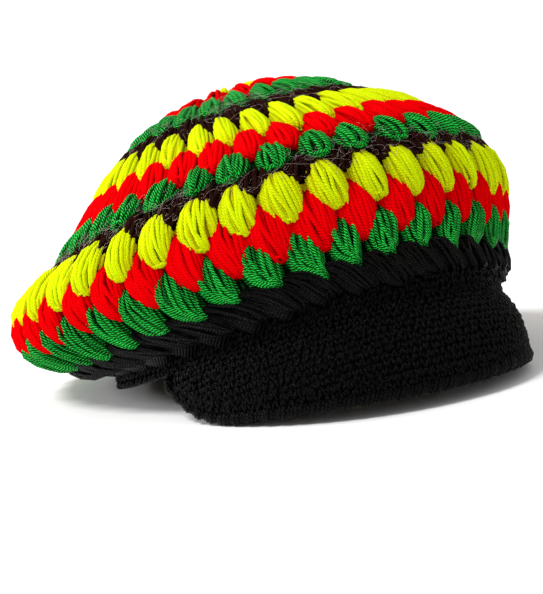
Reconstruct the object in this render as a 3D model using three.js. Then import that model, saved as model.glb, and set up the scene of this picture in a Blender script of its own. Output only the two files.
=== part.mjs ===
// A slouchy crocheted tam with a peak. The crown is twelve rounds of puff stitches in red,
// yellow, green, brown and black wool, worked from the crown's centre down to a narrow band.
// The peak hangs from the front half of the band and ends in a thick corded edging. The hat
// stands on the back of its band and on the two low corners of its peak.
// Millimetres and degrees, +Z up, the peak towards -Y, the wearer's left towards +X.
import * as THREE from "three";

const WALL = 5; // thickness of the crocheted fabric between the puffs
const SEAM = 0.52; // clearance between neighbouring rounds
const ZIGZAG = 0.19; // how far a puff's tip reaches past its round, as a share of the round
const LIP_SINK = 0.9; // the fabric thins towards the seams by this much on the outside

const BAND_HEIGHT = 10;
const BAND_THICKNESS = 5;
const BAND_RIDGES = 3; // rounds of single crochet in the band

const PEAK_HALF_WIDTH = 90;
const PEAK_ROOT_Y = -14; // the peak's ends join the band this far in front of its middle
const PEAK_REACH = 107; // from that line to the middle of the front edge
const PEAK_SQUARENESS = 2.2; // exponent of the outline: 2 is an ellipse
const PEAK_THICKNESS = 4.6;
const PEAK_CAMBER = 5; // the peak bellies out by this much between the band and its edge
const PEAK_DEPTH = 45; // from the band to the edge at the front
const PEAK_STEP = 4; // degrees between the peak's columns
const PEAK_ROWS = [0.2, 0.4, 0.58, 0.76]; // shares of the way down at which the peak's surface is shaped
const PEAK_SHEET_END = 84; // the sheet ends here and the edging goes on up to the band
const CORD_RADIUS = 3.1;
const CORD_SIDES = 8;

// The head opening's lower edge: an ellipse that rises from the nape to the forehead.
const RIM = { halfWidth: 91, halfLength: 105, sideHeight: 17, rise: 25, curl: 8 };

// The crown's shape, one row for each seam between rounds, from the centre down to the band.
// Each seam is a leaning ellipse: half its width and length, how far its middle lies behind
// the band's, its middle's height, its backward lean and how much its front and back curl up.
const SEAMS = [
  { halfWidth: 0, halfLength: 0, back: 46.5, height: 137.3, lean: 23, curl: 0 },
  { halfWidth: 22, halfLength: 24, back: 45.4, height: 136, lean: 21.2, curl: 0 },
  { halfWidth: 38.8, halfLength: 40.8, back: 42.8, height: 132, lean: 19, curl: 0 },
  { halfWidth: 54, halfLength: 55.6, back: 38, height: 126.4, lean: 17.5, curl: 0 },
  { halfWidth: 67.5, halfLength: 70.7, back: 31.5, height: 118.8, lean: 17.1, curl: 0 },
  { halfWidth: 79.6, halfLength: 84.8, back: 24.8, height: 108.6, lean: 17.6, curl: 0 },
  { halfWidth: 92, halfLength: 97.5, back: 20.4, height: 96.7, lean: 18.7, curl: 0.5 },
  { halfWidth: 104.5, halfLength: 108.2, back: 21.2, height: 84.6, lean: 19.3, curl: 2.5 },
  { halfWidth: 115.5, halfLength: 115.2, back: 26.8, height: 72.3, lean: 18.9, curl: 6 },
  { halfWidth: 121.5, halfLength: 123.4, back: 36.3, height: 58.8, lean: 17, curl: 7.5 },
  { halfWidth: 118, halfLength: 125.4, back: 37.6, height: 45.2, lean: 15.2, curl: 7.2 },
  { halfWidth: 106, halfLength: 118.8, back: 26.2, height: 35.2, lean: 13.3, curl: 7.2 },
  { halfWidth: 93.5, halfLength: 107.5, back: 0, height: 27.5, lean: 13.8, curl: 8 },
];

// The rounds from the centre down: the wool's colour, how many puffs it has, how far they swell and
// how far a puff's tip lies to the left of its middle, as a share of its width. start is the angle of
// a puff where the count changes.
const ROUNDS = [
  { wool: "yellow", puffs: 8, swell: 3.6, slant: 0, start: 0 },
  { wool: "red", puffs: 16, swell: 3.8, slant: 0, start: 0 },
  { wool: "green", puffs: 24, swell: 4, slant: 0, start: 0 },
  { wool: "brown", puffs: 33, swell: 2.4, slant: 0, start: -2.2 },
  { wool: "yellow", puffs: 33, swell: 4, slant: 0 },
  { wool: "red", puffs: 33, swell: 4.2, slant: 0.02 },
  { wool: "green", puffs: 33, swell: 4.4, slant: 0.08 },
  { wool: "brown", puffs: 33, swell: 3, slant: 0.06 },
  { wool: "yellow", puffs: 36, swell: 5, slant: 0.12, start: 7 },
  { wool: "red", puffs: 36, swell: 5, slant: 0.12 },
  { wool: "green", puffs: 36, swell: 5, slant: 0.1 },
  { wool: "black", puffs: 36, swell: 6, slant: 0.1 },
];

// Height of the peak's edge above its two low corners, by the angle round its outline.
const PEAK_EDGE = [
  { turn: 0, lift: 11 },
  { turn: 30, lift: 10 },
  { turn: 55, lift: 6.5 },
  { turn: 71, lift: 4.6 },
  { turn: 81, lift: 9 },
  { turn: 90, lift: 20 },
];

const WOOLS = {
  yellow: { colour: 0xdfe600, roughness: 0.75 },
  red: { colour: 0xe00010, roughness: 0.75 },
  green: { colour: 0x078028, roughness: 0.7 },
  brown: { colour: 0x24100c, roughness: 0.9 },
  black: { colour: 0x0a0a0a, roughness: 0.8 },
};

const rad = THREE.MathUtils.degToRad;

// A smooth curve through a table's columns: at(x) gives every column at x.
function smoothTable(rows, positions, columns) {
  const values = rows.flatMap((row) => columns.map((name) => row[name]));
  const curve = new THREE.CubicInterpolant(positions, values, columns.length);
  return (x) => {
    const found = Array.from(curve.evaluate(x));
    return Object.fromEntries(columns.map((name, i) => [name, found[i]]));
  };
}

// A closed solid from a grid of points that wraps round both ways: rings[i][j] is point j of section i.
// The last face of a section splits the other way from the rest, so that a round's upper edge has the
// same facets as the lower edge it lies against.
function wrappedSolid(rings, closedEnds = false) {
  const sides = rings[0].length;
  const positions = rings.flat().flatMap((p) => [p.x, p.y, p.z]);
  const faces = [];
  const spans = closedEnds ? rings.length - 1 : rings.length;
  for (let i = 0; i < spans; i++) {
    const here = i * sides;
    const next = ((i + 1) % rings.length) * sides;
    for (let j = 0; j < sides; j++) {
      const k = (j + 1) % sides;
      if (k > 0) faces.push(here + j, next + k, next + j, here + j, here + k, next + k);
      else faces.push(here + j, here, next + j, here, next, next + j);
    }
  }
  if (closedEnds) {
    const last = (rings.length - 1) * sides;
    for (let j = 1; j < sides - 1; j++) {
      faces.push(0, j + 1, j, last, last + j, last + j + 1);
    }
  }
  const geometry = new THREE.BufferGeometry();
  geometry.setAttribute("position", new THREE.Float32BufferAttribute(positions, 3));
  geometry.setIndex(faces);
  return geometry;
}

// The point at angle turn (0 at the front, towards the wearer's left) on a leaning ellipse.
function ringPoint(ring, turn) {
  const forward = ring.halfLength * Math.cos(turn);
  const lean = rad(ring.lean);
  return new THREE.Vector3(
    ring.halfWidth * Math.sin(turn),
    ring.back - forward * Math.cos(lean),
    ring.height + forward * Math.sin(lean) + ring.curl * Math.cos(turn) ** 2,
  );
}

const SEAM_COLUMNS = ["halfWidth", "halfLength", "back", "height", "lean", "curl"];
const crownRing = smoothTable(SEAMS, SEAMS.map((_, i) => i), SEAM_COLUMNS);

// A point of the crown: down counts rounds from the centre, turn goes round, out stands off the fabric's middle.
function crownPoint(down, turn, out) {
  const step = 0.02;
  const low = Math.max(down - step, 0.001);
  const high = Math.min(down + step, ROUNDS.length);
  const point = ringPoint(crownRing(Math.max(down, 0)), turn);
  const along = ringPoint(crownRing(high), turn).sub(ringPoint(crownRing(low), turn));
  const ring = crownRing(Math.max(down, 0.05));
  const around = ringPoint(ring, turn + step).sub(ringPoint(ring, turn - step));
  return point.addScaledVector(along.cross(around).normalize(), out);
}

// The angle of a puff of each round. Rounds with as many puffs follow on from their neighbour, so
// that each puff's tip lies between two puffs of the next round.
function firstPuff(index) {
  const { puffs, slant, start } = ROUNDS[index];
  if (start !== undefined) return rad(start);
  return firstPuff(index - 1) + (0.5 + ROUNDS[index - 1].slant + slant) * (2 * Math.PI / puffs);
}

// One column through a round's wall: where its seams lie here and how far it swells. The last round
// ends on the band's upper edge.
function roundSection(index, { top, bottom }, turn, swell) {
  const { puffs, slant } = ROUNDS[index];
  const outside = WALL / 2;
  const twist = slant * ((2 * Math.PI) / puffs);
  const last = index === ROUNDS.length - 1;
  const at = (share, out) => crownPoint(top + (bottom - top) * share, turn + twist * (2 * share - 1), out);
  const foot = (out) => (last ? bandPoint(turn + twist, BAND_HEIGHT + SEAM, out) : at(1, out));
  return [
    at(0, outside - LIP_SINK),
    at(0.3, outside + swell * 0.92),
    at(0.62, outside + swell),
    foot(outside - LIP_SINK),
    foot(-WALL / 2),
    at(0, -WALL / 2),
  ];
}

// A ring of puffs, two columns to a puff. Where the next round has as many puffs, the seam zigzags.
function puffRound(index) {
  const { puffs, swell } = ROUNDS[index];
  const above = ROUNDS[index - 1]?.puffs === puffs ? ZIGZAG : 0;
  const below = ROUNDS[index + 1]?.puffs === puffs ? ZIGZAG : 0;
  const sections = [];
  for (let column = 0; column < 2 * puffs; column++) {
    const middle = column % 2 === 0;
    const turn = firstPuff(index) + (column / puffs) * Math.PI;
    const top = index + (middle ? -above : above);
    const bottom = index + 1 + (middle ? below : -below);
    const height = { top: top + seamGap(top, turn), bottom: bottom - seamGap(bottom, turn) };
    sections.push(roundSection(index, height, turn, middle ? swell : 0));
  }
  return wrappedSolid(sections);
}

// How far a round stops short of its seam's line, in rounds: half the clearance.
function seamGap(down, turn) {
  const step = 0.05;
  const length = crownPoint(down - step, turn, 0).distanceTo(crownPoint(down + step, turn, 0));
  return (SEAM * step) / length;
}

// The first round has no hole: its puffs meet at the crown's centre, drawn in to a small dimple.
function centreRound() {
  const { puffs, swell } = ROUNDS[0];
  const columns = 2 * puffs;
  const edge = 1 - seamGap(1, 0);
  const bands = [
    { down: 0.3, out: (lobe) => WALL / 2 + swell * (0.35 + 0.25 * lobe) },
    { down: 0.66, out: (lobe) => WALL / 2 + swell * lobe },
    { down: edge, out: () => WALL / 2 - LIP_SINK },
    { down: edge, out: () => -WALL / 2 },
  ];
  const points = [crownPoint(0, 0, WALL / 2), crownPoint(0, 0, -WALL / 2)];
  for (const { down, out } of bands) {
    for (let column = 0; column < columns; column++) {
      const lobe = column % 2 === 0 ? 1 : 0;
      points.push(crownPoint(down, (column / columns) * 2 * Math.PI, out(lobe)));
    }
  }
  const faces = [];
  const at = (band, column) => 2 + band * columns + (column % columns);
  for (let c = 0; c < columns; c++) {
    faces.push(0, at(0, c), at(0, c + 1));
    for (let b = 0; b < bands.length - 1; b++) {
      faces.push(at(b, c), at(b + 1, c), at(b + 1, c + 1), at(b, c), at(b + 1, c + 1), at(b, c + 1));
    }
    faces.push(1, at(bands.length - 1, c + 1), at(bands.length - 1, c));
  }
  const geometry = new THREE.BufferGeometry();
  const positions = points.flatMap((p) => [p.x, p.y, p.z]);
  geometry.setAttribute("position", new THREE.Float32BufferAttribute(positions, 3));
  geometry.setIndex(faces);
  return geometry;
}

// A point of the band's fabric: up from its lower edge, out from its middle.
function bandPoint(turn, up, out) {
  const across = new THREE.Vector2(Math.sin(turn) / RIM.halfWidth, Math.cos(turn) / RIM.halfLength);
  across.normalize();
  const front = Math.cos(turn);
  return new THREE.Vector3(
    RIM.halfWidth * Math.sin(turn) + across.x * out,
    -RIM.halfLength * front - across.y * out,
    RIM.sideHeight + RIM.rise * front + RIM.curl * front ** 2 + up,
  );
}

// The band: a narrow ring of single crochet whose rounds show as ridges.
function band() {
  const columns = 72;
  const ridge = BAND_HEIGHT / BAND_RIDGES;
  const sections = [];
  for (let c = 0; c < columns; c++) {
    const turn = (c / columns) * 2 * Math.PI;
    const section = [];
    for (let r = BAND_RIDGES; r > 0; r--) {
      section.push(bandPoint(turn, r * ridge, BAND_THICKNESS / 2 - LIP_SINK));
      section.push(bandPoint(turn, (r - 0.5) * ridge, BAND_THICKNESS / 2));
    }
    section.push(bandPoint(turn, 0, BAND_THICKNESS / 2 - LIP_SINK));
    section.push(bandPoint(turn, 0, -BAND_THICKNESS / 2));
    section.push(bandPoint(turn, BAND_HEIGHT, -BAND_THICKNESS / 2));
    sections.push(section);
  }
  return wrappedSolid(sections);
}

const edgeLift = smoothTable(PEAK_EDGE, PEAK_EDGE.map((row) => row.turn), ["lift"]);

// The peak's outline: a rounded square corner on each side, low there and lifted at the front.
const bend = (value) => Math.sign(value) * Math.abs(value) ** (2 / PEAK_SQUARENESS);

function peakEdge(turn) {
  return new THREE.Vector3(
    PEAK_HALF_WIDTH * bend(Math.sin(turn)),
    PEAK_ROOT_Y - PEAK_REACH * bend(Math.cos(turn)),
    edgeLift(Math.abs(THREE.MathUtils.radToDeg(turn))).lift,
  );
}

// Where on the band the peak's column at turn hangs: as far forward, in proportion, as its edge.
function rootTurn(turn) {
  const forward = -PEAK_ROOT_Y + (RIM.halfLength + PEAK_ROOT_Y) * bend(Math.cos(turn));
  return Math.sign(turn) * Math.acos(forward / RIM.halfLength);
}

// The peak's middle surface: share 0 is the band's lower edge, share 1 the outline.
function peakPoint(turn, share) {
  const root = bandPoint(rootTurn(turn), -SEAM, 0);
  const edge = peakEdge(turn);
  const fullness = Math.min(root.distanceTo(edge) / PEAK_DEPTH, 1);
  const belly = PEAK_CAMBER * fullness * 4 * share * (1 - share);
  const outward = new THREE.Vector3(Math.sin(turn), -Math.cos(turn), 1).normalize();
  return root.lerp(edge, share).addScaledVector(outward, belly);
}

function peakOffset(turn, share, out) {
  const step = 0.01;
  const along = peakPoint(turn, share + step).sub(peakPoint(turn, share - step));
  const around = peakPoint(turn + step, share).sub(peakPoint(turn - step, share));
  return peakPoint(turn, share).addScaledVector(along.cross(around).normalize(), out);
}

// The edging's frame at turn: its centre, the way out of the peak's edge and the peak's outer side.
function edgeFrame(turn) {
  const centre = peakPoint(turn, 1);
  const ahead = peakPoint(turn + 0.01, 1).sub(peakPoint(turn - 0.01, 1)).normalize();
  const outward = centre.clone().sub(peakPoint(turn, 0.98));
  outward.addScaledVector(ahead, -outward.dot(ahead)).normalize();
  return { centre, outward, outside: outward.clone().cross(ahead) };
}

// The peak: one curved plate of single crochet between the band and the corded edging.
function peak() {
  const half = PEAK_THICKNESS / 2;
  const clear = CORD_RADIUS * Math.cos(Math.PI / CORD_SIDES) + SEAM;
  const sections = [];
  for (const degrees of peakColumns(PEAK_SHEET_END)) {
    const turn = rad(degrees);
    const { centre, outward, outside } = edgeFrame(turn);
    const lower = (out) => centre.clone().addScaledVector(outward, -clear).addScaledVector(outside, out);
    const outer = PEAK_ROWS.map((share) => peakOffset(turn, share, half));
    const inner = PEAK_ROWS.map((share) => peakOffset(turn, share, -half)).reverse();
    const upper = (out) => bandPoint(rootTurn(turn), -SEAM, out);
    sections.push([upper(half), ...outer, lower(half), lower(-half), ...inner, upper(-half)]);
  }
  return wrappedSolid(sections, true);
}

// Evenly spaced angles from -end to end, in degrees, with end itself at each side.
function peakColumns(end) {
  const inside = Math.ceil(end / PEAK_STEP) - 1;
  const even = Array.from({ length: 2 * inside + 1 }, (_, i) => (i - inside) * PEAK_STEP);
  return [-end, ...even, end];
}

// The corded edging: a round cord along the peak's outline that ends flat against the band.
function peakCord() {
  const sections = peakColumns(90).map((degrees) => {
    const turn = rad(degrees);
    const { centre, outward, outside } = edgeFrame(turn);
    if (Math.abs(degrees) === 90) {
      const root = rootTurn(turn);
      const step = 0.01 * Math.sign(turn);
      centre.copy(bandPoint(root, -SEAM, 0));
      outward.copy(bandPoint(root + step, 0, 0)).sub(bandPoint(root - step, 0, 0)).normalize();
      outside.set(Math.sign(turn), 0, 0);
    }
    return Array.from({ length: CORD_SIDES }, (_, k) => {
      const angle = ((k + 0.5) / CORD_SIDES) * 2 * Math.PI;
      const point = centre.clone().addScaledVector(outward, CORD_RADIUS * Math.cos(angle));
      return point.addScaledVector(outside, -CORD_RADIUS * Math.sin(angle));
    });
  });
  return wrappedSolid(sections, true);
}

function woolMesh(name, geometry, wool) {
  const { colour, roughness } = WOOLS[wool];
  const material = new THREE.MeshStandardMaterial({ color: colour, roughness, metalness: 0 });
  const mesh = new THREE.Mesh(geometry, material);
  mesh.name = name;
  return mesh;
}

const hat = new THREE.Group();
ROUNDS.forEach(({ wool }, index) => {
  const name = `round_${String(index + 1).padStart(2, "0")}_${wool}`;
  hat.add(woolMesh(name, index === 0 ? centreRound() : puffRound(index), wool));
});
hat.add(woolMesh("band", band(), "black"));
hat.add(woolMesh("peak", peak(), "black"));
hat.add(woolMesh("peak_edging", peakCord(), "black"));

// The origin is the middle of the ground that the hat covers.
const box = new THREE.Box3().setFromObject(hat);
const middle = box.getCenter(new THREE.Vector3());
hat.position.set(-middle.x, -middle.y, -box.min.z);

export default hat;
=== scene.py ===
# A crocheted tam with a peak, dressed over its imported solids: every puff is a bundle of wool
# strands, the band and the peak are single crochet, and a corded edging runs along the peak.
# Lengths are worked in millimetres and turned to metres where a mesh is made. The peak points
# towards -Y, and angles round the hat start at the front and grow towards the wearer's left.
import math

import bpy
import numpy as np
from mathutils import Matrix, Vector


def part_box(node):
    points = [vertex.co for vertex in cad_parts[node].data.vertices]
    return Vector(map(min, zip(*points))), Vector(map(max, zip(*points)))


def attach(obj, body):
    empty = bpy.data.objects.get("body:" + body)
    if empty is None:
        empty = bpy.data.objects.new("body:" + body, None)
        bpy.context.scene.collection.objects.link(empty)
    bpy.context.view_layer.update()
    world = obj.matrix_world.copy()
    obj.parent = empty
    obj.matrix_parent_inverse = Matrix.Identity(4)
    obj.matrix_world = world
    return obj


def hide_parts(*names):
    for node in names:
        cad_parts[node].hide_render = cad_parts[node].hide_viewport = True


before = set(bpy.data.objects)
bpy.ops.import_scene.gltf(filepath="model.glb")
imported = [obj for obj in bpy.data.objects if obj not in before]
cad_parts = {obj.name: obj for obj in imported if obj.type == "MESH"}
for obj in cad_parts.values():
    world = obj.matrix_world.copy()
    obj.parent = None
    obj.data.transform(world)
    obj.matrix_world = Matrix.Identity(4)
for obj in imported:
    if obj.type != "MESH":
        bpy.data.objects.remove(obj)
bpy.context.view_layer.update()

# The wool. Every stitch is made of the same soft plied yarn, so a short straight length of it is
# modelled once and each strand of the hat is a copy of that length, bent along its own path.
YARN_RADIUS = 1.0
PLY_LENGTH = 4.6  # one full turn of the plies along the yarn
PLIES = 3


def yarn_length(sides, steps):
    """A closed straight tube, one unit long, as arrays: its points, faces and texture places."""
    bpy.ops.object.select_all(action="DESELECT")
    bpy.ops.mesh.primitive_circle_add(vertices=sides, radius=1, fill_type="NGON")
    tube = bpy.context.object
    bpy.ops.object.mode_set(mode="EDIT")
    for _ in range(steps):
        bpy.ops.mesh.extrude_region_move(TRANSFORM_OT_translate={"value": (0, 0, 1 / steps)})
    bpy.ops.mesh.select_all(action="SELECT")
    bpy.ops.mesh.normals_make_consistent(inside=False)
    bpy.ops.object.mode_set(mode="OBJECT")
    mesh = tube.data
    points = np.array([v.co for v in mesh.vertices])
    corners = [list(face.vertices) for face in mesh.polygons]
    turn = np.arctan2(points[:, 1], points[:, 0]) / (2 * math.pi) % 1
    around = []
    for face in corners:
        found = turn[face]
        if len(face) == 4 and found.max() - found.min() > 0.5:
            found = np.where(found < 0.5, found + 1, found)
        around.append(found)
    bpy.data.objects.remove(tube)
    return {
        "ring": points[:, :2],
        "level": np.rint(points[:, 2] * steps).astype(int),
        "steps": steps,
        "corners": np.concatenate(corners),
        "sizes": np.array([len(face) for face in corners]),
        "around": np.concatenate(around),
    }


LONG_YARN = yarn_length(5, 8)
WRAP_YARN = yarn_length(6, 6)
INNER_YARN = yarn_length(4, 5)
BACK_YARN = yarn_length(4, 4)
SHORT_YARN = yarn_length(5, 4)


def levels(yarn):
    """Where the rings of a length of yarn sit along its path, from 0 to 1."""
    return np.linspace(0, 1, yarn["steps"] + 1)


def unit(vectors):
    return vectors / np.linalg.norm(vectors, axis=-1, keepdims=True)


def lay(yarn, path, outward, thickness, tone, shade, width=None):
    """Copies of a length of yarn, one along each path. path and outward are strand, level, xyz.
    thickness and width are its radii outwards and sideways. tone is a strand's own brightness
    and shade is how much painted shade it takes for how deep it lies, both from 0 to 1."""
    count, rings = path.shape[:2]
    along = unit(np.gradient(path, axis=1))
    side = unit(np.cross(outward, along))
    outer = np.cross(along, side)
    level, ring = yarn["level"], yarn["ring"]
    high = np.broadcast_to(thickness, (count, rings))[:, level]
    wide = high if width is None else np.broadcast_to(width, (count, rings))[:, level]
    points = path[:, level] + side[:, level] * (wide * ring[:, 0])[..., None]
    points = points + outer[:, level] * (high * ring[:, 1])[..., None]
    travel = np.linalg.norm(np.diff(path, axis=1), axis=-1)
    length = np.concatenate([np.zeros((count, 1)), np.cumsum(travel, axis=1)], axis=1)
    corners = yarn["corners"]
    place = np.stack([length[:, level[corners]], np.tile(yarn["around"], (count, 1))], axis=-1)
    return {
        "points": points.reshape(-1, 3),
        "corners": (corners[None] + np.arange(count)[:, None] * len(level)).ravel(),
        "sizes": np.tile(yarn["sizes"], count),
        "places": place.reshape(-1, 2),
        "tone": np.broadcast_to(np.reshape(tone, (-1, 1)), (count, len(level))).ravel(),
        "shade": np.broadcast_to(shade, (count, rings))[:, level].ravel(),
    }


def shell(grid, closed_round):
    """A closed skin over sections of points. grid is section, point, xyz; each section is a loop.
    Where closed_round is false, the two end sections are capped."""
    sections, points = grid.shape[:2]
    i = np.arange(sections if closed_round else sections - 1)[:, None]
    j = np.arange(points)[None]
    here, there = i * points, (i + 1) % sections * points
    ahead = (j + 1) % points
    quads = np.stack([here + j, here + ahead, there + ahead, there + j], axis=-1).reshape(-1, 4)
    corners, sizes = [quads.ravel()], [np.full(len(quads), 4)]
    if not closed_round:
        last = (sections - 1) * points
        corners += [np.arange(points)[::-1], last + np.arange(points)]
        sizes += [np.array([points]), np.array([points])]
    corners = np.concatenate(corners)
    flat = grid.reshape(-1, 3)
    return {
        "points": flat,
        "corners": corners,
        "sizes": np.concatenate(sizes),
        "places": np.stack([corners // points * 1.7, corners % points / points], axis=-1),
        "tone": np.full(len(flat), 0.35),
        # Every skin lies behind stitches and takes full painted shade.
        "shade": np.full(len(flat), 1.0),
    }


# The band is an even oval, so the middle of its box is the middle of the head opening, which
# every place on the hat is measured from.
band_low, band_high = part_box("band")
HAT_MIDDLE = np.array([(band_low.x + band_high.x) * 500, (band_low.y + band_high.y) * 500, 0])


def made_of(name, parts, material, slot, *nodes):
    """One piece of the hat from its strands and skins, standing for those CAD nodes."""
    counts = np.cumsum([0] + [len(part["points"]) for part in parts])
    corners = np.concatenate([part["corners"] + n for part, n in zip(parts, counts)])
    sizes = np.concatenate([part["sizes"] for part in parts])
    points = np.concatenate([part["points"] for part in parts]) + HAT_MIDDLE
    mesh = bpy.data.meshes.new(name)
    mesh.vertices.add(len(points))
    mesh.vertices.foreach_set("co", (points * 0.001).astype(np.float32).ravel())
    mesh.loops.add(len(corners))
    mesh.loops.foreach_set("vertex_index", corners.astype(np.int32))
    mesh.polygons.add(len(sizes))
    mesh.polygons.foreach_set("loop_start", (np.cumsum(sizes) - sizes).astype(np.int32))
    mesh.polygons.foreach_set("use_smooth", np.ones(len(sizes), bool))
    mesh.update(calc_edges=True)
    places = np.concatenate([part["places"] for part in parts])
    mesh.uv_layers.new(name="yarn").data.foreach_set("uv", places.astype(np.float32).ravel())
    for attribute in ("tone", "shade"):
        values = np.concatenate([part[attribute] for part in parts]).astype(np.float32)
        mesh.attributes.new(attribute, "FLOAT", "POINT").data.foreach_set("value", values)
    mesh.materials.append(material)
    made = bpy.data.objects.new(name, mesh)
    bpy.context.scene.collection.objects.link(made)
    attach(made, "root")
    if nodes:
        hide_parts(*nodes)


# The dyes: yellow, red, green, brown and black wool. Each has its lit colour and a darker colour
# painted in as shade deep between strands and in the grooves between its plies, which show as a
# fine twist along every strand. The green and the black shine a little and the others are matt.
FUZZ_SCALE = 900  # patches of fuzz a millimetre across
NAP_SCALE = 2400  # single fibres
UNEVEN_TWIST = 1.1  # how far the twist wanders, in radians
WORN = 0.22  # how much deeper the dullest strand is than the brightest
PAINTED_SHADE = 0.8  # how much darker painted shade makes a strand at the bottom of a stitch than on top of it
PLY_RELIEF, NAP_RELIEF = 0.9, 0.7  # how high plies and fibres stand, against the fuzz


def wool(name, lit, deep, twist, speckled, rough, shine):
    """Plied wool. lit is the linear colour where light falls full on it and deep the linear colour of
    painted shade, twist is how strongly painted shade shows in the grooves between plies, speckled
    how uneven the colour is, and rough and shine how it takes the light."""
    material = bpy.data.materials.new(name)
    material.use_nodes = True
    nodes, links = material.node_tree.nodes, material.node_tree.links
    shader = nodes["Principled BSDF"]
    shader.inputs["Roughness"].default_value = rough
    shader.inputs["Specular IOR Level"].default_value = shine

    def math_node(operation, a, b):
        node = nodes.new("ShaderNodeMath")
        node.operation = operation
        for socket, value in zip(node.inputs, (a, b)):
            if isinstance(value, (int, float)):
                socket.default_value = value
            else:
                links.new(value, socket)
        return node.outputs[0]

    def mix(factor, a, b):
        node = nodes.new("ShaderNodeMix")
        node.data_type = "RGBA"
        for key, value in (("Factor_Float", factor), ("A_Color", a), ("B_Color", b)):
            socket = next(s for s in node.inputs if s.identifier == key)
            if isinstance(value, tuple):
                socket.default_value = (*value, 1)
            else:
                links.new(value, socket)
        return next(s for s in node.outputs if s.identifier == "Result_Color")

    place = nodes.new("ShaderNodeTexCoord")
    fuzz = nodes.new("ShaderNodeTexNoise")
    fuzz.inputs["Scale"].default_value = FUZZ_SCALE
    fuzz.inputs["Detail"].default_value = 3
    fuzz.inputs["Roughness"].default_value = 0.7
    links.new(place.outputs["Object"], fuzz.inputs["Vector"])
    tone = nodes.new("ShaderNodeAttribute")
    tone.attribute_name = "tone"
    shade = nodes.new("ShaderNodeAttribute")
    shade.attribute_name = "shade"
    uv = nodes.new("ShaderNodeUVMap")
    uv.uv_map = "yarn"
    split = nodes.new("ShaderNodeSeparateXYZ")
    links.new(uv.outputs[0], split.inputs[0])
    along = math_node("MULTIPLY", split.outputs[0], 2 * math.pi / PLY_LENGTH)
    round_it = math_node("MULTIPLY", split.outputs[1], 2 * math.pi)
    # No two strands start their twist alike, and none keeps it quite even.
    start = math_node("MULTIPLY", tone.outputs["Fac"], 2 * math.pi)
    wandering = math_node("MULTIPLY", fuzz.outputs["Fac"], UNEVEN_TWIST)
    turned = math_node("ADD", math_node("ADD", along, round_it), math_node("ADD", start, wandering))
    spiral = math_node("MULTIPLY", turned, PLIES)
    ply = math_node("MULTIPLY_ADD", math_node("SINE", spiral, 0), 0.5)
    ply.node.inputs[2].default_value = 0.5
    # Painted shade in the groove between two plies and where a strand lies deep, and the strand's own
    # random tone, all mix in the deep colour.
    groove = math_node("MULTIPLY", math_node("SUBTRACT", 1.0, ply), twist)
    worn = math_node("MULTIPLY", math_node("SUBTRACT", 1.0, tone.outputs["Fac"]), WORN)
    depth = math_node("MULTIPLY", shade.outputs["Fac"], PAINTED_SHADE)
    speckle = math_node("MULTIPLY", math_node("SUBTRACT", fuzz.outputs["Fac"], 0.5), speckled)
    total = math_node("ADD", math_node("ADD", groove, worn), math_node("ADD", depth, speckle))
    total.node.use_clamp = True
    links.new(mix(total, lit, deep), shader.inputs["Base Color"])
    nap = nodes.new("ShaderNodeTexNoise")
    nap.inputs["Scale"].default_value = NAP_SCALE
    nap.inputs["Detail"].default_value = 2
    links.new(place.outputs["Object"], nap.inputs["Vector"])
    plies = math_node("MULTIPLY", ply, PLY_RELIEF)
    fibres = math_node("MULTIPLY", nap.outputs["Fac"], NAP_RELIEF)
    height = math_node("ADD", math_node("ADD", plies, fibres), fuzz.outputs["Fac"])
    bump = nodes.new("ShaderNodeBump")
    bump.inputs["Strength"].default_value = 0.85
    bump.inputs["Distance"].default_value = 0.0005
    links.new(height, bump.inputs["Height"])
    links.new(bump.outputs["Normal"], shader.inputs["Normal"])
    return material


WOOLS = {
    "yellow": wool("yellow wool", (0.72, 0.94, 0.003), (0.52, 0.38, 0.0), 0.14, 0.5, 0.9, 0.02),
    "red": wool("red wool", (0.86, 0.0, 0.002), (0.55, 0.0, 0.001), 0.1, 0.35, 0.9, 0.01),
    "green": wool("green wool", (0.02, 0.72, 0.075), (0.0, 0.008, 0.0), 1.1, 1.2, 0.42, 0.06),
    "brown": wool("brown wool", (0.03, 0.009, 0.007), (0.001, 0.0003, 0.0003), 0.4, 2.2, 0.9, 0.01),
    "black": wool("black wool", (0.004, 0.004, 0.004), (0.0, 0.0, 0.0), 0.9, 2.4, 0.3, 0.06),
}

# The crown's form: a slouching dome of twelve rounds that hangs over the band at the back. Each
# row of the table is the seam above a round, a leaning oval: half its width and length, how far
# its middle lies behind the band's, its height, its backward lean and the curl of its two ends.
SEAMS = [
    (0, 0, 46.5, 137.3, 23, 0),
    (22, 24, 45.4, 136, 21.2, 0),
    (38.8, 40.8, 42.8, 132, 19, 0),
    (54, 55.6, 38, 126.4, 17.5, 0),
    (67.5, 70.7, 31.5, 118.8, 17.1, 0),
    (79.6, 84.8, 24.8, 108.6, 17.6, 0),
    (92, 97.5, 20.4, 96.7, 18.7, 0.5),
    (104.5, 108.2, 21.2, 84.6, 19.3, 2.5),
    (115.5, 115.2, 26.8, 72.3, 18.9, 6),
    (121.5, 123.4, 36.3, 58.8, 17, 7.5),
    (118, 125.4, 37.6, 45.2, 15.2, 7.2),
    (106, 118.8, 26.2, 35.2, 13.3, 7.2),
    (93.5, 107.5, 0, 27.5, 13.8, 8),
]
LAST_SEAM = len(SEAMS) - 1
CLOSES_FROM = 11.45  # where the last round starts to close in on the band, in rounds
BAND_HALF_WIDTH, BAND_HALF_LENGTH = 91, 105
BAND_HEIGHT = 10
# The height of the band's lower edge at its sides, its rise to the front and the curl of its ends.
BAND_SIDE, BAND_RISE, BAND_CURL = 17, 25, 8


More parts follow.
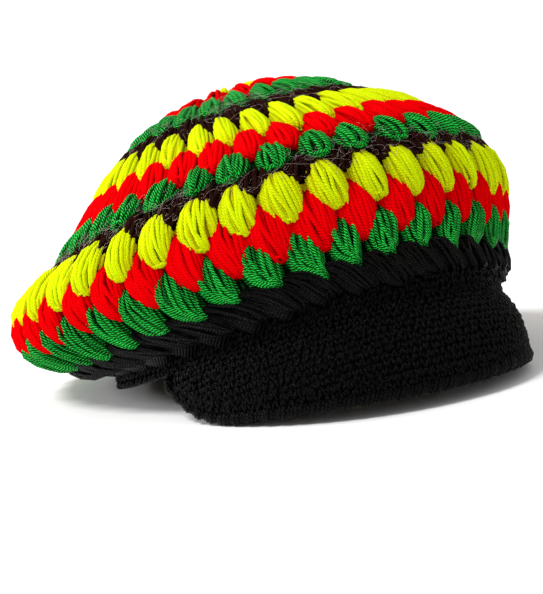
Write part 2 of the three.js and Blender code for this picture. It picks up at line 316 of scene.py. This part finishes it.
def band_point(turn, up, out):
    """A point of the band: up from its lower edge, out from the middle of its fabric."""
    turn, up, out = np.broadcast_arrays(*(np.asarray(v, float) for v in (turn, up, out)))
    facing = unit(np.stack([np.sin(turn) / BAND_HALF_WIDTH, -np.cos(turn) / BAND_HALF_LENGTH], -1))
    front = np.cos(turn)
    return np.stack([
        BAND_HALF_WIDTH * np.sin(turn) + facing[..., 0] * out,
        -BAND_HALF_LENGTH * front + facing[..., 1] * out,
        BAND_SIDE + BAND_RISE * front + BAND_CURL * front ** 2 + up,
    ], -1)


def smooth(x, xs, rows):
    """A smooth curve through the rows of a table, read at x."""
    x = np.asarray(x, float)
    xs, rows = np.asarray(xs, float), np.asarray(rows, float)
    secant = np.diff(rows, axis=0) / np.diff(xs)[:, None]
    slope = np.vstack([secant[:1], (secant[1:] + secant[:-1]) / 2, secant[-1:]])
    i = np.clip(np.searchsorted(xs, x, side="right") - 1, 0, len(xs) - 2)
    step = (xs[i + 1] - xs[i])[..., None]
    p = (x[..., None] - xs[i][..., None]) / step
    before = (1 + 2 * p) * (1 - p) ** 2 * rows[i] + p * (1 - p) ** 2 * step * slope[i]
    after = p * p * (3 - 2 * p) * rows[i + 1] + p * p * (p - 1) * step * slope[i + 1]
    return before + after


def oval_point(down, turn):
    """A point of the middle of the crown's fabric."""
    row = smooth(np.broadcast_to(down, np.shape(turn)), np.arange(len(SEAMS)), SEAMS)
    forward, lean = row[..., 1] * np.cos(turn), np.radians(row[..., 4])
    return np.stack([
        row[..., 0] * np.sin(turn),
        row[..., 2] - forward * np.cos(lean),
        row[..., 3] + forward * np.sin(lean) + row[..., 5] * np.cos(turn) ** 2,
    ], -1)


def crown_outward(down, turn):
    """The way out of the crown's fabric."""
    low, high = np.maximum(down - 0.02, 0.001), np.minimum(down + 0.02, LAST_SEAM)
    inner = np.maximum(down, 0.05)
    around = oval_point(inner, turn + 0.02) - oval_point(inner, turn - 0.02)
    return unit(np.cross(oval_point(high, turn) - oval_point(low, turn), around))


def crown_point(down, turn, out):
    """A point of the crown. down counts rounds from the centre, turn goes round it and out
    stands off the middle of the fabric. The last round closes in on the band's upper edge."""
    down, turn, out = np.broadcast_arrays(*(np.asarray(v, float) for v in (down, turn, out)))
    inside = np.clip(down, 0, LAST_SEAM)
    point = oval_point(inside, turn) + crown_outward(inside, turn) * out[..., None]
    near = np.clip((down - CLOSES_FROM) / (LAST_SEAM - CLOSES_FROM), 0, 1)[..., None]
    return point + (band_point(turn, BAND_HEIGHT, out) - point) * near * near * (3 - 2 * near)


# The twelve rounds of puff stitches, worked from the crown's centre outwards. A puff is a bag of
# loose strands, gathered above between two puffs of the round before and drawn together below
# by a closing loop.

# puffs is how many a round has and start the angle of its first, in degrees. swell is how far a
# puff stands out, slant how far its tip lies to the wearer's left, in puffs, top and tip how far
# it reaches past its seams, in rounds, and width how much of its place it fills. strands is how
# many show, plump how thick they are and loose how untidy they lie. hang is how far its tip
# droops, crest how much fuller its top is and taper how much finer its tip.
ROUNDS = [
    dict(wool="yellow", puffs=8, swell=3.6, slant=0, start=0, top=-0.2, tip=0.3, width=1, strands=9),
    dict(wool="red", puffs=16, swell=3.8, slant=0, start=0, top=0.2, tip=0.32, width=1, strands=9),
    dict(wool="green", puffs=24, swell=4, slant=0, start=0, top=0.25, tip=0.32, width=0.9, strands=10),
    dict(wool="brown", puffs=33, swell=2.4, slant=0, start=-2.2, top=0.25, tip=0.3, width=1, strands=7),
    dict(wool="yellow", puffs=33, swell=4.6, slant=0.03, top=0.5, tip=0.42, width=0.8, strands=10,
         plump=1.12),
    dict(wool="red", puffs=33, swell=4.6, slant=0.04, top=0.34, tip=0.42, width=0.92, strands=11,
         plump=1.28),
    dict(wool="green", puffs=33, swell=4.8, slant=0.08, top=0.34, tip=0.34, width=0.78, strands=10,
         plump=0.95, loose=1.6),
    dict(wool="brown", puffs=33, swell=2.4, slant=0.06, top=0.2, tip=0.2, width=1, strands=9, loose=2),
    dict(wool="yellow", puffs=36, swell=5.4, slant=0.17, start=6.3, top=0.66, tip=0.44, width=0.81,
         strands=13, plump=1.14),
    dict(wool="red", puffs=36, swell=5.2, slant=0.03, top=0.42, tip=0.46, width=0.94, strands=14,
         plump=1.32, taper=0.4),
    dict(wool="green", puffs=36, swell=5.6, slant=-0.12, top=0.5, tip=0.3, width=0.88, strands=13,
         plump=0.95, loose=1.5, hang=4.0, crest=0.65, taper=0.5),
    dict(wool="black", puffs=36, swell=5.6, slant=0.18, top=0.2, tip=0.0, width=1.04, strands=13,
         plump=0.94, loose=2.4, crest=0.4, taper=-0.3),
]
dice = np.random.default_rng(12)  # seeded, so that every run gives the same hat
for row in ROUNDS:
    # How each puff differs from its neighbours: its width, its place, its length and its swell.
    row["uneven"] = dice.normal(0, 1, (4, row["puffs"], 1, 1)).clip(-1.8, 1.8)
WIDTH_VARIES, PLACE_VARIES, LENGTH_VARIES, SWELL_VARIES = 0.07, 0.045, 0.05, 0.07
HANG_REACH = 0.06  # how much further down a drooping tip reaches, in rounds for a millimetre
SLANT_RUN = 0.69  # the part of a round over which a puff leans by its slant
STRAND_FAN = 80  # how far round a puff's swell its strands lie, in degrees from its middle
PROUD = 0.4  # how far a full strand stands out past the solid's lobe
FABRIC_HALF = 2.5  # half the thickness of the fabric between the puffs
FLANK_SINK = 0.6  # how deep the outermost strands lie under the fabric's face
# Down a puff from its top to its tip: half its width in puffs and how much of its swell it has.
PUFF_FORM = [
    (0.0, 0.1, -0.25),
    (0.06, 0.25, 0.2),
    (0.14, 0.34, 0.5),
    (0.26, 0.42, 0.78),
    (0.42, 0.48, 0.96),
    (0.58, 0.5, 1.0),
    (0.72, 0.49, 1.0),
    (0.84, 0.45, 0.94),
    (0.92, 0.39, 0.82),
    (0.97, 0.31, 0.6),
    (1.0, 0.2, 0.2),
]


def puff_form(row, share):
    """Half a puff's width and its share of the swell, fuller above and finer below by the row."""
    form = np.array(PUFF_FORM)
    found = smooth(np.clip(share, 0, 1), form[:, 0], form[:, 1:])
    fuller = 1 + row.get("crest", 0) * (1 - share) ** 3
    return found[..., 0] * (fuller - row.get("taper", 0) * share ** 4), found[..., 1] * fuller


def first_puff(index):
    """The angle of a round's first puff: each tip lies between two puffs of the next round."""
    row = ROUNDS[index]
    if "start" in row:
        return math.radians(row["start"])
    shift = 0.5 + ROUNDS[index - 1]["slant"] + row["slant"]
    return first_puff(index - 1) + shift * 2 * math.pi / row["puffs"]


def in_puff(index, share, place, out):
    """Points of the round's puffs from their own measures. share runs from a puff's top to its tip
    and place across it, from -1 to 1. The first axis of each is the puff."""
    row = ROUNDS[index]
    pitch = 2 * math.pi / row["puffs"]
    middle = first_puff(index) + pitch * np.arange(row["puffs"]).reshape(-1, 1, 1)
    wider, beside, longer, _ = row["uneven"]
    tip = row["tip"] + HANG_REACH * row.get("hang", 0) * np.cos(middle).clip(0)
    within = share * (1 + row["top"] + tip + LENGTH_VARIES * longer) - row["top"]
    down = np.clip(index + within, 0.02, LAST_SEAM)
    width, _ = puff_form(row, share)
    width = row["width"] * (1 + WIDTH_VARIES * wider) * width
    # The puffs lean most beside the front, at the wearer's right.
    slant = row["slant"] * (0.75 + 0.25 * np.cos(middle + 0.5))
    sideways = slant * (within - 0.5) / SLANT_RUN + PLACE_VARIES * beside + width * place
    turn = middle + pitch * sideways
    return crown_point(down, turn, out), crown_outward(down, turn)


def hang(index, share):
    """How far the tips of a round droop off the fabric behind them, most of all at the front."""
    row = ROUNDS[index]
    turn = first_puff(index) + 2 * math.pi / row["puffs"] * np.arange(row["puffs"])
    droop = row.get("hang", 0) * np.clip((share - 0.4) / 0.6, 0, 1) ** 2
    return droop * (0.3 + 0.7 * np.cos(turn[:, None, None]).clip(0))


def full_swell(row):
    """How far the middle of each puff's strands stands above its flanks."""
    swell = row["swell"] * (1 + SWELL_VARIES * row["uneven"][3])
    return FABRIC_HALF + swell - YARN_RADIUS + PROUD + FLANK_SINK


def strands_of(points):
    """The first two axes, puff and strand, as one."""
    return points.reshape(-1, *points.shape[2:])


def puff_strands(index):
    """The front of every puff in a round: a layer of strands side by side over the puff's swell,
    with one looser strand that crosses them, and another layer that fills the gaps behind them."""
    row = ROUNDS[index]
    puffs, strands = row["puffs"], row["strands"]
    # Where the strands of each puff part, how wide, and which one crosses the others. All angles
    # are in degrees round the puff's swell.
    parted = dice.uniform(-50, 50, puffs)[:, None]
    parting = dice.uniform(0, 3, puffs)[:, None] ** 2
    loose = row.get("loose", 1)
    crossing = strands // 2 + dice.integers(-2, 3, puffs)
    made = []
    for yarn, count, sink in ((LONG_YARN, strands, 0.0), (INNER_YARN, strands - 1, 1.0)):
        half = STRAND_FAN * count / strands
        lean = np.linspace(-half, half, count) + dice.normal(0, 2.2 * loose, (puffs, count))
        drift = dice.normal(3, 5.5 * loose, (puffs, count))
        lift = dice.normal(-sink, 0.24, (puffs, count, 1))
        if not sink:
            drift[np.arange(puffs), crossing] = dice.uniform(18, 32, puffs)
            lift[np.arange(puffs), crossing] = 0.7
        apart = np.tanh((lean - parted) / 6) * parting
        # The steps along a strand are shorter at its two ends, where it turns in.
        share = (1 - np.cos(math.pi * (0.03 + 0.94 * levels(yarn)))) / 2
        share = np.clip(share + dice.normal(0, 0.012, (puffs, count, 1)), 0.002, 0.998)
        sway = dice.normal(0, 3, (puffs, count, 1)) * np.sin(2 * math.pi * share)
        sway = sway + apart[..., None] * np.exp(-((share - 0.3) / 0.22) ** 2)
        angle = lean[..., None] + drift[..., None] * (share - 0.5) * 2 + sway
        angle = np.radians(np.clip(angle, -88, 88))
        _, rise = puff_form(row, share)
        out = hang(index, share) - FLANK_SINK + full_swell(row) * rise * np.cos(angle) ** 0.85
        out = out + lift * np.clip(rise, 0, 1)
        path, outward = map(strands_of, in_puff(index, share, np.sin(angle), out))
        rise = strands_of(np.clip(rise, 0.1, 1))
        plump = YARN_RADIUS * row.get("plump", 1.05)
        # The strands lie apart at a puff's top and press together towards its tip.
        thickness = plump * (0.62 + 0.3 * rise + 0.16 * strands_of(share))
        thickness = thickness * dice.normal(1, 0.07, (len(path), 1))
        # Painted shade: a strand darkens down the puff's flanks and towards its two ends, where the
        # swell falls away, and the layer behind is darker still.
        shade = np.clip(1 - rise * strands_of(np.cos(angle)) ** 0.7, 0, 1) ** 1.6
        shade = np.clip(shade + 0.45 * sink, 0, 1)
        made.append(lay(yarn, path, outward, thickness, dice.uniform(0, 1, len(path)), shade))
    return made


CORE_WIDTH = 0.84  # how much of a puff's width its core takes


def puff_cores(index):
    """The strands deep inside each puff, which fill it and show between others only in full painted
    shade.
    """
    row = ROUNDS[index]
    share = 0.04 + 0.92 * levels(WRAP_YARN) + np.zeros((row["puffs"], 1, 1))
    width, rise = puff_form(row, share)
    height = np.clip(full_swell(row) * rise - 1.5 * YARN_RADIUS, 0.5, None)
    middle = height * 0.5 - FLANK_SINK + hang(index, share)
    path, outward = map(strands_of, in_puff(index, share, 0 * share, middle))
    row_radius = np.linalg.norm(path[:, :1, :2] - path[:, :1, :2].mean(axis=0), axis=-1)
    pitch = 2 * math.pi * row_radius / row["puffs"] * row["width"]
    wide = strands_of(width) * pitch * CORE_WIDTH
    # The cores take full painted shade.
    return lay(WRAP_YARN, path, outward, strands_of(height) * 0.5, 0.3, 1.0, width=wide)


def puff_wraps(index):
    """The loop that closes a puff: short turns of yarn across its tip."""
    row = ROUNDS[index]
    wraps = 2
    t = levels(WRAP_YARN)
    share = np.array([0.92, 0.98]) + dice.normal(0, 0.015, (row["puffs"], wraps))
    tilt = dice.normal(0.02, 0.04, (row["puffs"], wraps))
    share = np.clip(share[..., None] + tilt[..., None] * (2 * t - 1), 0, 0.995)
    across = np.sin((t - 0.5) * math.pi) * 0.97 + 0 * share
    _, rise = puff_form(row, share)
    arch = (full_swell(row) * rise + 0.3) * np.cos(across * 1.4) ** 0.8
    out = hang(index, share) - FLANK_SINK + arch
    path, outward = map(strands_of, in_puff(index, share, across, out))
    # Painted shade, darker towards both ends of a turn, where it dives in under the puff.
    shade = np.abs(strands_of(across)) ** 3 * 0.7
    tone = dice.uniform(0, 1, len(path))
    return lay(WRAP_YARN, path, outward, YARN_RADIUS * 0.82, tone, shade)


def puff_backs(index):
    """The inside of the hat, where the puffs lie flat against the head."""
    row = ROUNDS[index]
    puffs = row["puffs"]
    strands = 5
    share = 0.05 + 0.9 * levels(BACK_YARN) + dice.normal(0, 0.01, (puffs, strands, 1))
    across = np.linspace(-0.85, 0.85, strands)[:, None] + dice.normal(0, 0.04, (puffs, strands, 1))
    out = -FABRIC_HALF + 0.85 + dice.normal(0, 0.12, (puffs, strands, 1)) + 0 * share
    path, outward = map(strands_of, in_puff(index, share, across + 0 * share, out))
    tone = dice.uniform(0, 1, len(path))
    # The inside of the hat takes a little painted shade.
    return lay(BACK_YARN, path, outward, YARN_RADIUS * 1.05, tone, 0.3)


RING_SECTIONS = 144
GROUND_FACE, GROUND_BACK = 0.4, -1.3  # its two faces, out from the middle of the crown's fabric


def ground(index):
    """The thin fabric behind a round's puffs, so that no daylight shows between strands. It shows
    between them in full painted shade.
    """
    turn = np.linspace(0, 2 * math.pi, RING_SECTIONS, endpoint=False)[:, None]
    top, end = index + 0.4 if index else 0.04, min(index + 1.4, LAST_SEAM)
    down = top + (end - top) * np.array([0.0, 0.34, 0.68, 1.0, 1.0, 0.68, 0.34, 0.0])
    out = np.array([GROUND_FACE] * 4 + [GROUND_BACK] * 4)
    return shell(crown_point(down, turn, out), True)


KNOT_STRANDS = 6
KNOT_WIDTH = 8.5


def centre_knot():
    """The crossing strands that close the small ring at the crown's centre, on both faces."""
    t = levels(WRAP_YARN)
    heart, normal = crown_point(0.05, 0.0, 0.0), crown_outward(0.05, np.array(0.0))
    ahead = unit(np.cross(normal, [1.0, 0.0, 0.0]))
    order = np.arange(KNOT_STRANDS)
    angle = order * math.pi / KNOT_STRANDS + dice.normal(0, 0.1, KNOT_STRANDS)
    angle = angle[:, None, None]
    away = ahead * np.cos(angle) + np.cross(normal, ahead) * np.sin(angle)
    across = away * ((t - 0.5) * KNOT_WIDTH)[:, None]
    # Each strand arches over those laid before it.
    height = (1.6 - 7 * (t - 0.5) ** 2)[:, None] + 0.12 * order[:, None, None]
    made = []
    for face in (1, -1):
        path = heart + across + normal * face * height
        tone = dice.uniform(0, 1, KNOT_STRANDS)
        # Its strands take a little painted shade.
        made.append(lay(WRAP_YARN, path, normal + 0 * path, YARN_RADIUS, tone, 0.25))
    return made


for index, row in enumerate(ROUNDS):
    node = f"round_{index + 1:02d}_{row['wool']}"
    bundle = [ground(index), puff_cores(index), *puff_strands(index), puff_backs(index)]
    if index < len(ROUNDS) - 1:
        bundle.append(puff_wraps(index))
    if index == 0:
        bundle += centre_knot()
    name = f"puffs_{index + 1:02d}_{row['wool']}"
    made_of(name, bundle, WOOLS[row["wool"]], row["wool"] + "_wool", node)

# The brown rounds are spun with mohair: long fine pale hairs stand out of the yarn and curl over
# the puffs beside them.
HAIR = yarn_length(3, 5)
HAIR_RADIUS = 0.05
HAIR_COUNTS = {3: 400, 7: 1000}  # for the two brown rounds, counted from 0
ROUND_DEPTH = 15  # how far it is there from one seam to the next
hair_parts = []
for index, hairs in HAIR_COUNTS.items():
    t = levels(HAIR)
    down = index + dice.uniform(-0.15, 1.15, (hairs, 1)) + 0 * t
    turn = dice.uniform(0, 2 * math.pi, (hairs, 1)) + 0 * t
    heading, bow = dice.uniform(0, 2 * math.pi, (hairs, 1)), dice.normal(0, 4, (hairs, 1))
    length = dice.uniform(3, 12, (hairs, 1))
    heading = heading + bow * t
    width_there = np.linalg.norm(crown_point(down, turn, 0.0)[..., :2], axis=-1)
    turn = turn + np.cumsum(np.cos(heading), axis=1) * length / HAIR["steps"] / width_there
    down = down + np.cumsum(np.sin(heading), axis=1) * length / HAIR["steps"] / ROUND_DEPTH
    down = np.clip(down, 0.1, LAST_SEAM - 0.1)
    stand_off, arch = dice.uniform(0.5, 3.2, (hairs, 1)), dice.uniform(0, 1.8, (hairs, 1))
    out = FABRIC_HALF + stand_off + arch * np.sin(math.pi * t)
    path, way = crown_point(down, turn, out), crown_outward(down, turn)
    hair_parts.append(lay(HAIR, path, way, HAIR_RADIUS, dice.uniform(0, 1, hairs), 0.0))
mohair = wool("pale mohair", (1.0, 0.84, 0.76), (0.5, 0.3, 0.25), 0.0, 0.4, 0.6, 0.3)
made_of("mohair_hairs", hair_parts, mohair, "brown_wool")

# The band: three rounds of tight single crochet in black wool, each stitch a V of two legs, the
# same inside and out over a thin firm ground.
BAND_ROWS = 3
BAND_STITCHES = 150
BAND_THICKNESS = 5
STITCH_YARN = 0.84
STITCH_SINK = 1.0  # how far the middle of a stitch's yarn lies below the fabric's face
# One leg of a stitch along its yarn: its place across and down the stitch, in stitches, how far
# it stands out and how much painted shade it takes, most at its two ends where it dives into the
# fabric.
t = levels(SHORT_YARN)
LEG_ACROSS = 0.44 - 0.38 * t
LEG_DOWN = t - 0.52
LEG_OUT = 1.25 * np.sin(math.pi * t) ** 0.7 - 0.35
LEG_SHADE = 0.75 - 0.75 * np.sin(math.pi * t) ** 0.6


def stitch_legs(place, rows_down, side, outward_of):
    """V stitches. place(across, down, out) gives a point, with one stitch to each of rows_down."""
    paths, ways = [], []
    for hand in (-1, 1):
        across = hand * LEG_ACROSS + dice.normal(0, 0.11, (len(rows_down), 1))
        down = LEG_DOWN + dice.normal(0, 0.11, (len(rows_down), 1))
        out = LEG_OUT + dice.normal(0, 0.22, (len(rows_down), 1))
        paths.append(place(rows_down, across, down, side * out))
        ways.append(outward_of(rows_down, across, down) * side)
    path, way = np.concatenate(paths), np.concatenate(ways)
    tone = dice.uniform(0, 1, len(path))
    return lay(SHORT_YARN, path, way, STITCH_YARN, tone, LEG_SHADE)


def band_place(stitches, across, down, out):
    turn = (stitches[:, :1] + across) / BAND_STITCHES * 2 * math.pi
    up = (BAND_ROWS - stitches[:, 1:2] - 0.5 - down) * BAND_HEIGHT / BAND_ROWS
    offset = stitches[:, 2:3] * (BAND_THICKNESS / 2 - STITCH_SINK)
    return band_point(turn, np.clip(up, 0.9, BAND_HEIGHT), out + offset)


def band_way(stitches, across, down):
    turn = (stitches[:, :1] + across) / BAND_STITCHES * 2 * math.pi
    return band_point(turn, 0, 1) - band_point(turn, 0, 0)


band_parts = []
for side in (-1, 1):
    place = [(s + 0.5 * (r % 2), r, side) for r in range(BAND_ROWS) for s in range(BAND_STITCHES)]
    band_parts.append(stitch_legs(band_place, np.array(place, float), side, band_way))
turn = np.linspace(0, 2 * math.pi, RING_SECTIONS, endpoint=False)[:, None]
face_up = [BAND_HEIGHT - 0.3, BAND_HEIGHT / 2, 0.25, 0.0]
rim_up = np.array(face_up + face_up[::-1])
rim_out = np.array([1.5, 1.6, 1.6, 1.2, -1.2, -1.6, -1.6, -1.5])
band_parts.append(shell(band_point(turn, rim_up, rim_out), True))
made_of("band_crochet", band_parts, WOOLS["black"], "black_wool", "band")

# The peak: a curved plate of single crochet, worked forward from the band in rows that follow
# it. It hangs from the band, low at its two corners and lifted at the front.
PEAK_HALF_WIDTH = 90
PEAK_ROOT_Y = -14  # where its two corners lie, in y
PEAK_REACH = 107  # how far its front lies ahead of them
PEAK_SQUARENESS = 2.2  # 2 would make the outline an oval
PEAK_CAMBER = 5  # how far it bulges halfway down
PEAK_DEPTH = 45  # where the peak is less deep than this, it bulges less
PEAK_THICKNESS = 4.6
PEAK_SKIN = 1.4  # half the thickness of the ground between its two faces of stitches
PEAK_END = math.radians(84)
BAND_GAP = 0.52  # how far below the band it begins
# The height of the outline at angles from the front, in degrees.
EDGE_LIFT = [(0, 11), (30, 10), (55, 6.5), (71, 4.6), (81, 9), (90, 20)]
PEAK_ROWS = 14
PEAK_STITCH_WIDTH, PEAK_STITCH_HEIGHT = 3.7, 3.1
OUTLINE_ROWS = (-2.6, -5.2)  # the two rows that follow the outline, as depths below it
CLEAR_OF_OUTLINE = 3.4
SHORTEST_ROW = 20  # a row that is shorter than these samples of the peak's width is left out


def bend(value):
    """A squarer curve than a circle's, for the peak's outline."""
    return np.sign(value) * np.abs(value) ** (2 / PEAK_SQUARENESS)


def root_turn(turn):
    """Where on the band the fabric that reaches the outline at this angle is fixed."""
    forward = -PEAK_ROOT_Y + (BAND_HALF_LENGTH + PEAK_ROOT_Y) * bend(np.cos(turn))
    return np.sign(turn) * np.arccos(np.clip(forward / BAND_HALF_LENGTH, -1, 1))


def peak_edge(turn):
    degrees = np.degrees(np.abs(turn))
    table = np.array(EDGE_LIFT, float)
    lift = smooth(degrees, table[:, 0], table[:, 1:])[..., 0]
    return np.stack([
        PEAK_HALF_WIDTH * bend(np.sin(turn)),
        PEAK_ROOT_Y - PEAK_REACH * bend(np.cos(turn)),
        lift,
    ], -1)


def peak_middle(turn, share):
    """The middle of the peak's fabric: share 0 is the band's lower edge, share 1 the outline."""
    turn, share = np.broadcast_arrays(np.asarray(turn, float), np.asarray(share, float))
    root, edge = band_point(root_turn(turn), -BAND_GAP, 0.0), peak_edge(turn)
    full = np.minimum(np.linalg.norm(root - edge, axis=-1) / PEAK_DEPTH, 1)
    belly = PEAK_CAMBER * full * 4 * share * (1 - share)
    outward = unit(np.stack([np.sin(turn), -np.cos(turn), np.ones_like(turn)], -1))
    return root + (edge - root) * share[..., None] + outward * belly[..., None]


def peak_outward(turn, share):
    along = peak_middle(turn, share + 0.01) - peak_middle(turn, share - 0.01)
    around = peak_middle(turn + 0.01, share) - peak_middle(turn - 0.01, share)
    return unit(np.cross(along, around))


def peak_point(turn, share, out):
    return peak_middle(turn, share) + peak_outward(turn, share) * np.asarray(out)[..., None]


def peak_depth(turn):
    edge = peak_edge(turn)
    return np.linalg.norm(edge - band_point(root_turn(turn), -BAND_GAP, 0.0), axis=-1)


def stitch_row(turns, line, down, from_edge):
    """One row of stitches, evenly spaced along a line over the peak. down is how far it lies
    below the band, or below the outline where from_edge is 1."""
    travel = np.concatenate([[0], np.cumsum(np.linalg.norm(np.diff(line, axis=0), axis=1))])
    count = int(travel[-1] / PEAK_STITCH_WIDTH)
    middles = np.interp((np.arange(count) + 0.5) / count * travel[-1], travel, turns)
    speeds = np.interp(middles, turns, np.gradient(turns, travel))
    return [(middle, down, speed, from_edge) for middle, speed in zip(middles, speeds)]


fine_turn = np.linspace(-PEAK_END, PEAK_END, 400)
peak_stitches = []
for r in range(PEAK_ROWS):
    middle_down = (r + 0.5) * PEAK_STITCH_HEIGHT
    row_end = middle_down + 0.5 * PEAK_STITCH_HEIGHT + CLEAR_OF_OUTLINE
    inside = fine_turn[peak_depth(fine_turn) > row_end]
    if len(inside) > SHORTEST_ROW:
        line = peak_middle(inside, middle_down / peak_depth(inside))
        peak_stitches += stitch_row(inside, line, middle_down, 0)
for from_outline in OUTLINE_ROWS:
    line = peak_middle(fine_turn, 1 + from_outline / peak_depth(fine_turn))
    peak_stitches += stitch_row(fine_turn, line, from_outline, 1)
peak_stitches = np.array(peak_stitches)


def on_peak(stitches, across, down):
    """The angle and the share of the peak's depth at a place in each stitch."""
    turn = stitches[:, :1] + across * PEAK_STITCH_WIDTH * stitches[:, 2:3]
    depth = peak_depth(turn)
    return turn, (stitches[:, 1:2] + stitches[:, 3:] * depth + down * PEAK_STITCH_HEIGHT) / depth


def peak_place_on(side):
    def place(stitches, across, down, out):
        face = side * (PEAK_THICKNESS / 2 - STITCH_SINK)
        return peak_point(*on_peak(stitches, across, down), out + face)
    return place


def peak_way(stitches, across, down):
    return peak_outward(*on_peak(stitches, across, down))


peak_parts = [stitch_legs(peak_place_on(side), peak_stitches, side, peak_way) for side in (-1, 1)]
turn = np.linspace(-PEAK_END, PEAK_END, 85)[:, None]
share = np.array([0.01, 0.25, 0.5, 0.75, 1.0, 1.0, 0.75, 0.5, 0.25, 0.01])
out = np.array([PEAK_SKIN] * 5 + [-PEAK_SKIN] * 5)
peak_parts.append(shell(peak_point(turn, share, out), False))
made_of("peak_crochet", peak_parts, WOOLS["black"], "black_wool", "peak")

# The edging: a thick cord of backward-worked stitches along the peak's outline. Each stitch is
# four turns of yarn that roll over the edge side by side, which leaves a row of small scallops.
SCALLOP = 8.0
CORD_CORE = 2.2
CORD_YARN = 1.15
CORD_SLANT = 6.5  # how far a turn travels along the edge while it rolls over it
CORD_ROLL = 270  # how far round the core a turn reaches, in degrees
CORD_REACH = [2.35, 3.0, 3.1, 2.5]  # how far each turn of a stitch lies from the core's middle
fine_turn = np.radians(np.linspace(-89.5, 89.5, 720))
edge_line = peak_middle(fine_turn, 1.0)
edge_travel = np.concatenate([[0], np.cumsum(np.linalg.norm(np.diff(edge_line, axis=0), axis=1))])
scallops = int(edge_travel[-1] / SCALLOP)
t = levels(WRAP_YARN)
starts = (np.arange(scallops) + 0.5) * edge_travel[-1] / scallops
turns_beside = np.array([-1, 0, 1, 2]) - 0.5
roll = np.radians(CORD_ROLL * (t - 0.5))
distance = np.array(CORD_REACH)
u = starts[:, None, None] + turns_beside[:, None] * SCALLOP / 4 + CORD_SLANT * (t - 0.5)
u = np.clip(u + dice.normal(0, 0.12, (scallops, 4, 1)), 0, edge_travel[-1])
turn = np.interp(u, edge_travel, fine_turn)


def edge_frame(turn):
    """The middle of the cord at an angle, the way out of the peak there and the way off its face."""
    centre = peak_middle(turn, np.ones_like(turn))
    ahead = unit(peak_middle(turn + 0.01, 1.0) - peak_middle(turn - 0.01, 1.0))
    outward = centre - peak_middle(turn, np.full_like(turn, 0.98))
    outward = unit(outward - ahead * (outward * ahead).sum(-1, keepdims=True))
    return centre, outward, np.cross(outward, ahead)


centre, outward, outside = edge_frame(turn)
way = outward * np.cos(roll)[:, None] + outside * np.sin(roll)[:, None]
path = centre + way * (distance[:, None, None] + dice.normal(0, 0.08, (scallops, 4, 1, 1)))
wraps = path.reshape(-1, *path.shape[2:])
# Painted shade, darker towards both ends of a turn, where it rolls in under the edge.
shade = 0.5 * np.abs(np.cos(math.pi * t)) + 0 * wraps[..., 0]
tone = dice.uniform(0, 1, len(wraps))
cord_parts = [lay(WRAP_YARN, wraps, way.reshape(wraps.shape), CORD_YARN, tone, shade)]
turn = np.radians(np.linspace(-89, 89, 90))
centre, outward, outside = edge_frame(turn)
ring = np.radians(np.arange(8) * 45)
core = centre[:, None] + CORD_CORE * (
    outward[:, None] * np.cos(ring)[:, None] - outside[:, None] * np.sin(ring)[:, None]
)
cord_parts.append(shell(core, False))
made_of("peak_cord", cord_parts, WOOLS["black"], "black_wool", "peak_edging")

# The studio: a plain white floor and soft light, strongest from the left of the picture, as it
# falls on the hat in the photograph.
bpy.ops.object.select_all(action="DESELECT")
bpy.ops.mesh.primitive_plane_add(size=40, location=(0, 0, 0))
floor = bpy.context.object
floor.name = "floor"
paper = bpy.data.materials.new("white paper")
paper.use_nodes = True
paper_shader = paper.node_tree.nodes["Principled BSDF"]
paper_shader.inputs["Base Color"].default_value = (0.92, 0.92, 0.92, 1)
paper_shader.inputs["Roughness"].default_value = 0.95
floor.data.materials.append(paper)

SKY_STRENGTH = 0.68
sky = bpy.data.worlds.new("soft sky")
sky.use_nodes = True
sky.node_tree.nodes["Background"].inputs["Color"].default_value = (1, 1, 1, 1)
sky.node_tree.nodes["Background"].inputs["Strength"].default_value = SKY_STRENGTH
bpy.context.scene.world = sky
bpy.context.scene.view_settings.view_transform = "Standard"

# The camera of the photograph, by its angles round the hat, above it and about its own axis. One
# of the photograph's pixels is half a millimetre at the hat.
VIEW_AZIMUTH, VIEW_ELEVATION, VIEW_ROLL = map(math.radians, (-30, 8.5, 7))
VIEW_TARGET = (np.array([-9.4, 14.1, 43.3]) + HAT_MIDDLE) * 0.001
VIEW_DISTANCE = 1.5
PHOTO_HEIGHT = 594
PIXELS_PER_METRE = 2000
back = np.array([
    math.sin(VIEW_AZIMUTH) * math.cos(VIEW_ELEVATION),
    -math.cos(VIEW_AZIMUTH) * math.cos(VIEW_ELEVATION),
    math.sin(VIEW_ELEVATION),
])
right = np.array([math.cos(VIEW_AZIMUTH), math.sin(VIEW_AZIMUTH), 0])
up = np.cross(back, right)


def lamp(name, kind, size, power, place):
    """A lamp aimed at the hat. place is how far it lies to the right, up and towards the camera,
    in metres."""
    light = bpy.data.lights.new(name, kind)
    light.energy = power
    if kind == "SUN":
        light.angle = size
    else:
        light.size = size
    holder = bpy.data.objects.new(name, light)
    offset = Vector(right * place[0] + up * place[1] + back * place[2])
    holder.location = Vector(VIEW_TARGET) + offset
    holder.rotation_euler = (-offset).to_track_quat("-Z", "Y").to_euler()
    bpy.context.scene.collection.objects.link(holder)


lamp("key", "SUN", math.radians(18), 2.5, (-1.0, 1.5, 1.1))
lamp("rim", "AREA", 0.5, 16, (-1.6, 0.6, -0.3))

camera = bpy.data.objects.new("camera", bpy.data.cameras.new("camera"))
camera.data.lens = camera.data.sensor_width * VIEW_DISTANCE * PIXELS_PER_METRE / PHOTO_HEIGHT
camera.data.clip_end = 60
rolled_right = right * math.cos(VIEW_ROLL) - up * math.sin(VIEW_ROLL)
rolled_up = right * math.sin(VIEW_ROLL) + up * math.cos(VIEW_ROLL)
place = VIEW_TARGET + back * VIEW_DISTANCE
axes = zip(rolled_right, rolled_up, back, place)
camera.matrix_world = Matrix([*map(list, axes), (0, 0, 0, 1)])
bpy.context.scene.collection.objects.link(camera)
bpy.context.scene.camera = camera
